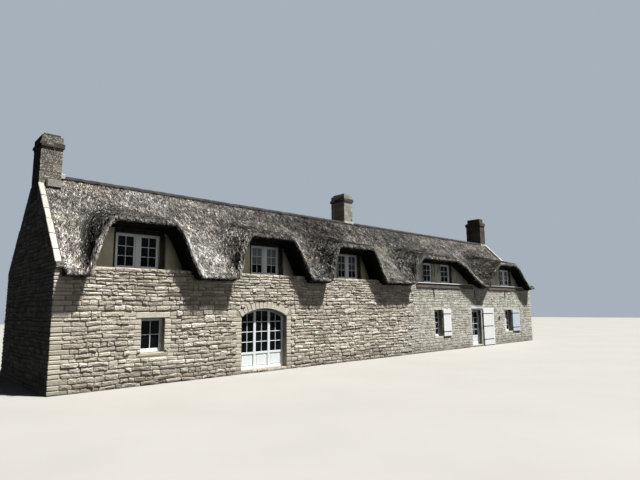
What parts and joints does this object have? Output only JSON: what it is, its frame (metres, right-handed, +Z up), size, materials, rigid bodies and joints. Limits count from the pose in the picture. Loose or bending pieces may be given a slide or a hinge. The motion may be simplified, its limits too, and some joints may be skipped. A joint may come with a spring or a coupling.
{
  "type": "thatched cottage",
  "caption": "Long thatched stone cottage with rounded hoods over its upper windows, gable copings, chimneys, and doors and shutters that turn on their hinges.",
  "frame": {"origin": "middle of the plan at ground level, under the ground floor", "axes": "+X along the front from the left gable to the right one, +Y from the front wall to the back wall, +Z up"},
  "size_m": [27.2, 6.64, 8.06],
  "materials": {
    "granite_rubble": "coursed squared granite, light joints",
    "pale_granite": "pale dressed granite",
    "lichened_granite": "dressed granite with lichen",
    "weathered_thatch": "weathered reed, grey brown",
    "ridge_mortar": "lime mortar ridge",
    "cream_render": "smooth cream render",
    "white_painted_wood": "white paint on boards",
    "white_window_joinery": "white paint, clear panes",
    "grey_timber": "weathered oak",
    "floor_slabs": "stone flags",
    "floor_boards": "oiled boards",
    "black_iron": "black painted iron"
  },
  "bodies": {
    "house": {"back_wall": "granite_rubble", "boarded_door_pintles": "black_iron", "chimney_left": "lichened_granite", "chimney_middle": "lichened_granite", "chimney_right": "lichened_granite", "coping_left_back": "pale_granite", "coping_left_front": "pale_granite", "coping_right_back": "pale_granite", "coping_right_front": "pale_granite", "door_frame": "white_painted_wood", "door_lintel": "white_painted_wood", "door_threshold": "pale_granite", "dormer_front_1": "cream_render", "dormer_front_2": "cream_render", "dormer_front_3": "cream_render", "dormer_front_4": "cream_render", "dormer_front_5": "cream_render", "dormer_front_back_1": "cream_render", "dormer_front_back_2": "cream_render", "dormer_window_1": "white_window_joinery", "dormer_window_2": "white_window_joinery", "dormer_window_3": "white_window_joinery", "dormer_window_4a": "white_window_joinery", "dormer_window_4b": "white_window_joinery", "dormer_window_5": "white_window_joinery", "dormer_window_back_1": "white_window_joinery", "dormer_window_back_2": "white_window_joinery", "french_window": "white_window_joinery", "front_wall_left": "granite_rubble", "front_wall_over_door": "granite_rubble", "front_wall_right": "granite_rubble", "gable_left": "granite_rubble", "gable_right": "granite_rubble", "ground_floor": "floor_slabs", "ridge_cap_left": "ridge_mortar", "ridge_cap_right": "ridge_mortar", "shutter_middle_pintles": "black_iron", "shutter_right_pintles": "black_iron", "sill_beam_4": "grey_timber", "sill_beam_5": "grey_timber", "thatch_back_1": "weathered_thatch", "thatch_back_2": "weathered_thatch", "thatch_back_3": "weathered_thatch", "thatch_front_1": "weathered_thatch", "thatch_front_2": "weathered_thatch", "thatch_front_3": "weathered_thatch", "thatch_front_4": "weathered_thatch", "thatch_front_5": "weathered_thatch", "upper_floor": "floor_boards", "window_back_1": "white_window_joinery", "window_back_2": "white_window_joinery", "window_back_3": "white_window_joinery", "window_left_small": "white_window_joinery", "window_middle": "white_window_joinery", "window_right": "white_window_joinery"},
    "boarded_door": {"boarded_door_leaf": "white_painted_wood"},
    "glazed_door": {"glazed_door_leaf": "white_painted_wood"},
    "middle_shutter": {"shutter_middle": "white_painted_wood"},
    "right_shutter": {"shutter_right": "white_painted_wood"}
  },
  "joints": [
    {"name": "boarded_door_hinge", "type": "hinge", "parent": "house", "child": "boarded_door", "pos_m": [7.63, -2.94, 1], "axis": [0, 0, -1], "range_deg": [0, 180]},
    {"name": "glazed_door_hinge", "type": "hinge", "parent": "house", "child": "glazed_door", "pos_m": [6.55, -2.631, 1], "axis": [0, 0, 1], "range_deg": [0, 90]},
    {"name": "middle_shutter_hinge", "type": "hinge", "parent": "house", "child": "middle_shutter", "pos_m": [3.77, -2.94, 1], "axis": [0, 0, -1], "range_deg": [0, 180]},
    {"name": "right_shutter_hinge", "type": "hinge", "parent": "house", "child": "right_shutter", "pos_m": [11.02, -2.94, 1], "axis": [0, 0, -1], "range_deg": [0, 180]}
  ]
}
